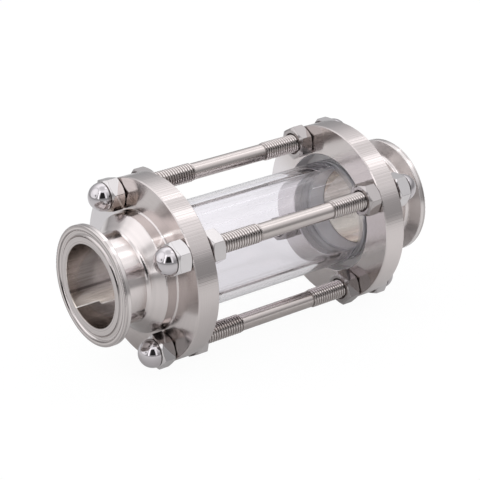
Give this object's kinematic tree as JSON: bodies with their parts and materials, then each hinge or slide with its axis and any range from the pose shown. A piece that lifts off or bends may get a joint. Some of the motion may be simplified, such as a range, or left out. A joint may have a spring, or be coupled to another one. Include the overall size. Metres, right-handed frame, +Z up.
{
  "type": "inline sight glass",
  "caption": "Inline sight glass: a clear tube clamped between two flanged clamp ferrule ends by tie rods with domed cap nuts, for watching the flow in a pipe.",
  "frame": {"origin": "on the flow axis, at the middle of the glass tube, which is also the centre of the whole part", "axes": "+X along the flow, out of the outlet ferrule; +Z up, as the part lies in a level pipe; the four tie rods stand at 60, 150, 240 and 330 degrees from +Y towards +Z"},
  "size_m": [0.1586, 0.0778, 0.0778],
  "materials": {
    "turned_steel": "turned and satin polished stainless steel",
    "rod_steel": "drawn stainless steel rod",
    "cap_nut_steel": "polished stainless steel",
    "hex_nut_steel": "bright stainless steel",
    "clear_glass": "clear, polished",
    "gasket_rubber": "white silicone, matt"
  },
  "bodies": {
    "root": {"inlet_end_fitting": "turned_steel", "outlet_end_fitting": "turned_steel", "glass_tube": "clear_glass", "inlet_gasket": "gasket_rubber", "outlet_gasket": "gasket_rubber", "tie_rod_1": "rod_steel", "tie_rod_2": "rod_steel", "tie_rod_3": "rod_steel", "tie_rod_4": "rod_steel", "inlet_cap_nut_1": "cap_nut_steel", "inlet_cap_nut_2": "cap_nut_steel", "inlet_cap_nut_3": "cap_nut_steel", "inlet_cap_nut_4": "cap_nut_steel", "outlet_cap_nut_1": "cap_nut_steel", "outlet_cap_nut_2": "cap_nut_steel", "outlet_cap_nut_3": "cap_nut_steel", "outlet_cap_nut_4": "cap_nut_steel", "inlet_hex_nut_1": "hex_nut_steel", "inlet_hex_nut_2": "hex_nut_steel", "inlet_hex_nut_3": "hex_nut_steel", "inlet_hex_nut_4": "hex_nut_steel", "outlet_hex_nut_1": "hex_nut_steel", "outlet_hex_nut_2": "hex_nut_steel", "outlet_hex_nut_3": "hex_nut_steel", "outlet_hex_nut_4": "hex_nut_steel"}
  },
  "joints": []
}
